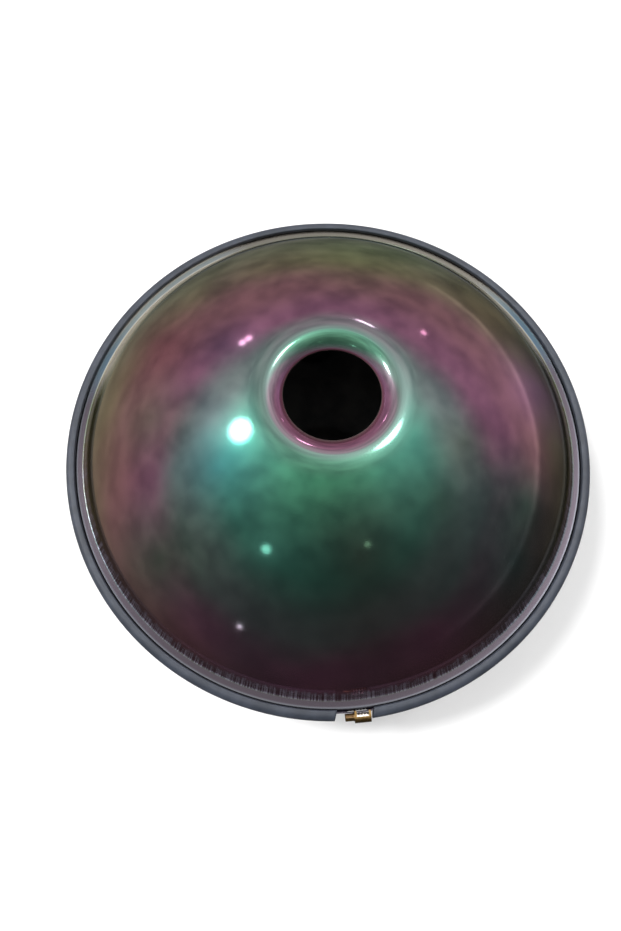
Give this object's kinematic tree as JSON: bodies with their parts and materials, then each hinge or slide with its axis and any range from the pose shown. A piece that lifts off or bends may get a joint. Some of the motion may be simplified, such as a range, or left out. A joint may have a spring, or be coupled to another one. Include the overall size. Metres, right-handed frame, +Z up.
{
  "type": "steel pan",
  "caption": "Closed handpan of two domed steel shells glued at the rim, port side up, with a rubber rim guard held by a worm-drive band clamp.",
  "frame": {"origin": "on the ground plane under the centre: the plane of the ding's flat ring, on the instrument's axis", "axes": "+Z up out of the port, -Y towards the rim clamp (front), +X to the right seen from the front"},
  "size_m": [0.53, 0.5325, 0.2482],
  "materials": {
    "coated_steel": "polished steel under a colour-shifting interference coat, green to purple to olive",
    "adhesive": "cured dark adhesive",
    "rubber": "matte grey extruded rubber",
    "band_steel": "bright rolled strip",
    "yellow_zinc": "yellow passivated zinc",
    "bright_zinc": "yellow zinc, polished bright on the thread crests"
  },
  "bodies": {
    "pan": {"bottom_shell": "coated_steel", "top_shell": "coated_steel", "seam_adhesive": "adhesive", "rim_guard": "rubber", "clamp_band": "band_steel", "screw_housing": "yellow_zinc"},
    "worm": {"worm_screw": "bright_zinc"},
    "tongue": {"clamp_tongue": "band_steel"}
  },
  "joints": [
    {"name": "worm_turn", "type": "hinge", "parent": "pan", "child": "worm", "pos_m": [0, -0.26215, 0.12], "axis": [1, 0, 0], "range_deg": [-1080, 0]},
    {"name": "tongue_travel", "type": "hinge", "parent": "pan", "child": "tongue", "pos_m": [0, 0, 0.12], "axis": [0, 0, 1], "range_deg": [0, 1.9]}
  ],
  "couplings": [
    {"joint": "tongue_travel", "follows": "worm_turn", "ratio": -0.0017263}
  ]
}
